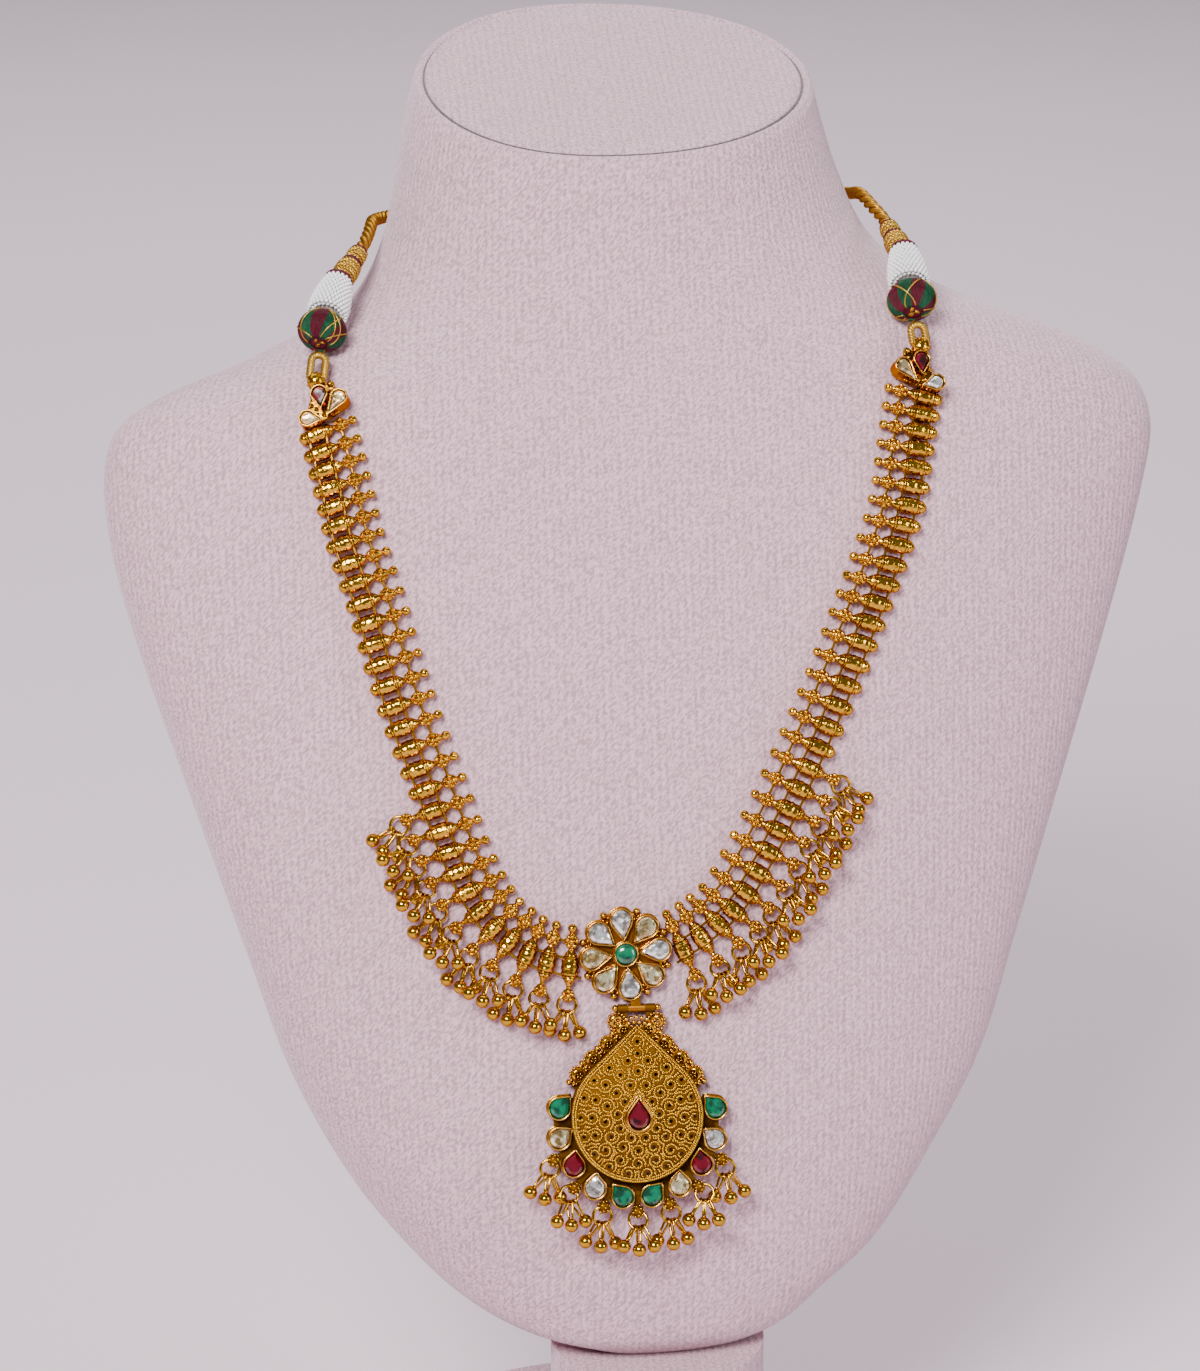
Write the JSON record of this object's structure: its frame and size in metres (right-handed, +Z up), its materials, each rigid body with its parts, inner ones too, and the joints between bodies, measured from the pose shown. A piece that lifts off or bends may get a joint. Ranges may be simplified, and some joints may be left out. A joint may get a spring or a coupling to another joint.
{
  "type": "kundan necklace on neck bust",
  "caption": "Gold kundan necklace with a stone-set flower and hinged teardrop pendant, laid on a plain velvet neck bust.",
  "frame": {"origin": "middle of the underside of the bust's round base, on the table", "axes": "+Z up, -Y towards the viewer of the necklace, +X to the viewer's right"},
  "size_m": [0.2178, 0.1682, 0.3144],
  "materials": {
    "velvet": "short velvet nap, matte",
    "gold": "polished high-carat gold, granulated and chased",
    "gold_wire": "drawn pale gold wire",
    "clear_stone": "foil-backed clear kundan stone",
    "emerald": "polished green stone",
    "ruby": "polished deep red stone",
    "gold_thread": "wound metallic thread, satin",
    "maroon_thread": "wound silk thread, satin",
    "pearl": "seed pearl lustre"
  },
  "bodies": {
    "necklace_and_bust": {"neck_bust": "velvet", "bust_foot": "velvet", "strand_beads_left": "gold", "strand_beads_right": "gold", "row_wire_tip_left": "gold_wire", "row_wire_inner_left": "gold_wire", "row_wire_outer_left": "gold_wire", "row_wire_tip_right": "gold_wire", "row_wire_inner_right": "gold_wire", "row_wire_outer_right": "gold_wire", "strand_drops_left": "gold", "strand_drops_right": "gold", "flower_mount": "gold", "centre_stone": "emerald", "petal_stone_1": "clear_stone", "petal_stone_2": "clear_stone", "petal_stone_3": "clear_stone", "petal_stone_4": "clear_stone", "petal_stone_5": "clear_stone", "petal_stone_6": "clear_stone", "petal_stone_7": "clear_stone", "petal_stone_8": "clear_stone", "hinge_pin": "gold", "end_plate_left": "gold", "end_plate_right": "gold", "end_ruby_left": "ruby", "end_clear_inner_left": "clear_stone", "end_clear_outer_left": "clear_stone", "end_ruby_right": "ruby", "end_clear_inner_right": "clear_stone", "end_clear_outer_right": "clear_stone", "cord_loop_left": "gold_thread", "cord_loop_right": "gold_thread", "thread_ball_left": "maroon_thread", "thread_ball_right": "maroon_thread", "pearl_sleeve_left": "pearl", "pearl_sleeve_right": "pearl", "gold_bands_left": "gold_thread", "gold_bands_right": "gold_thread", "neck_cord": "gold_thread"},
    "pendant": {"pendant_frame": "gold", "pendant_ruby": "ruby", "pendant_drops": "gold", "edge_stone_1": "emerald", "edge_stone_2": "clear_stone", "edge_stone_3": "ruby", "edge_stone_4": "clear_stone", "edge_stone_5": "emerald", "edge_stone_6": "emerald", "edge_stone_7": "clear_stone", "edge_stone_8": "ruby", "edge_stone_9": "clear_stone", "edge_stone_10": "emerald"}
  },
  "joints": [
    {"name": "pendant_hinge", "type": "hinge", "parent": "necklace_and_bust", "child": "pendant", "pos_m": [-0.00001, -0.03107, 0.13439], "axis": [-1, 0.0045, -0.0014], "range_deg": [0, 90]}
  ]
}
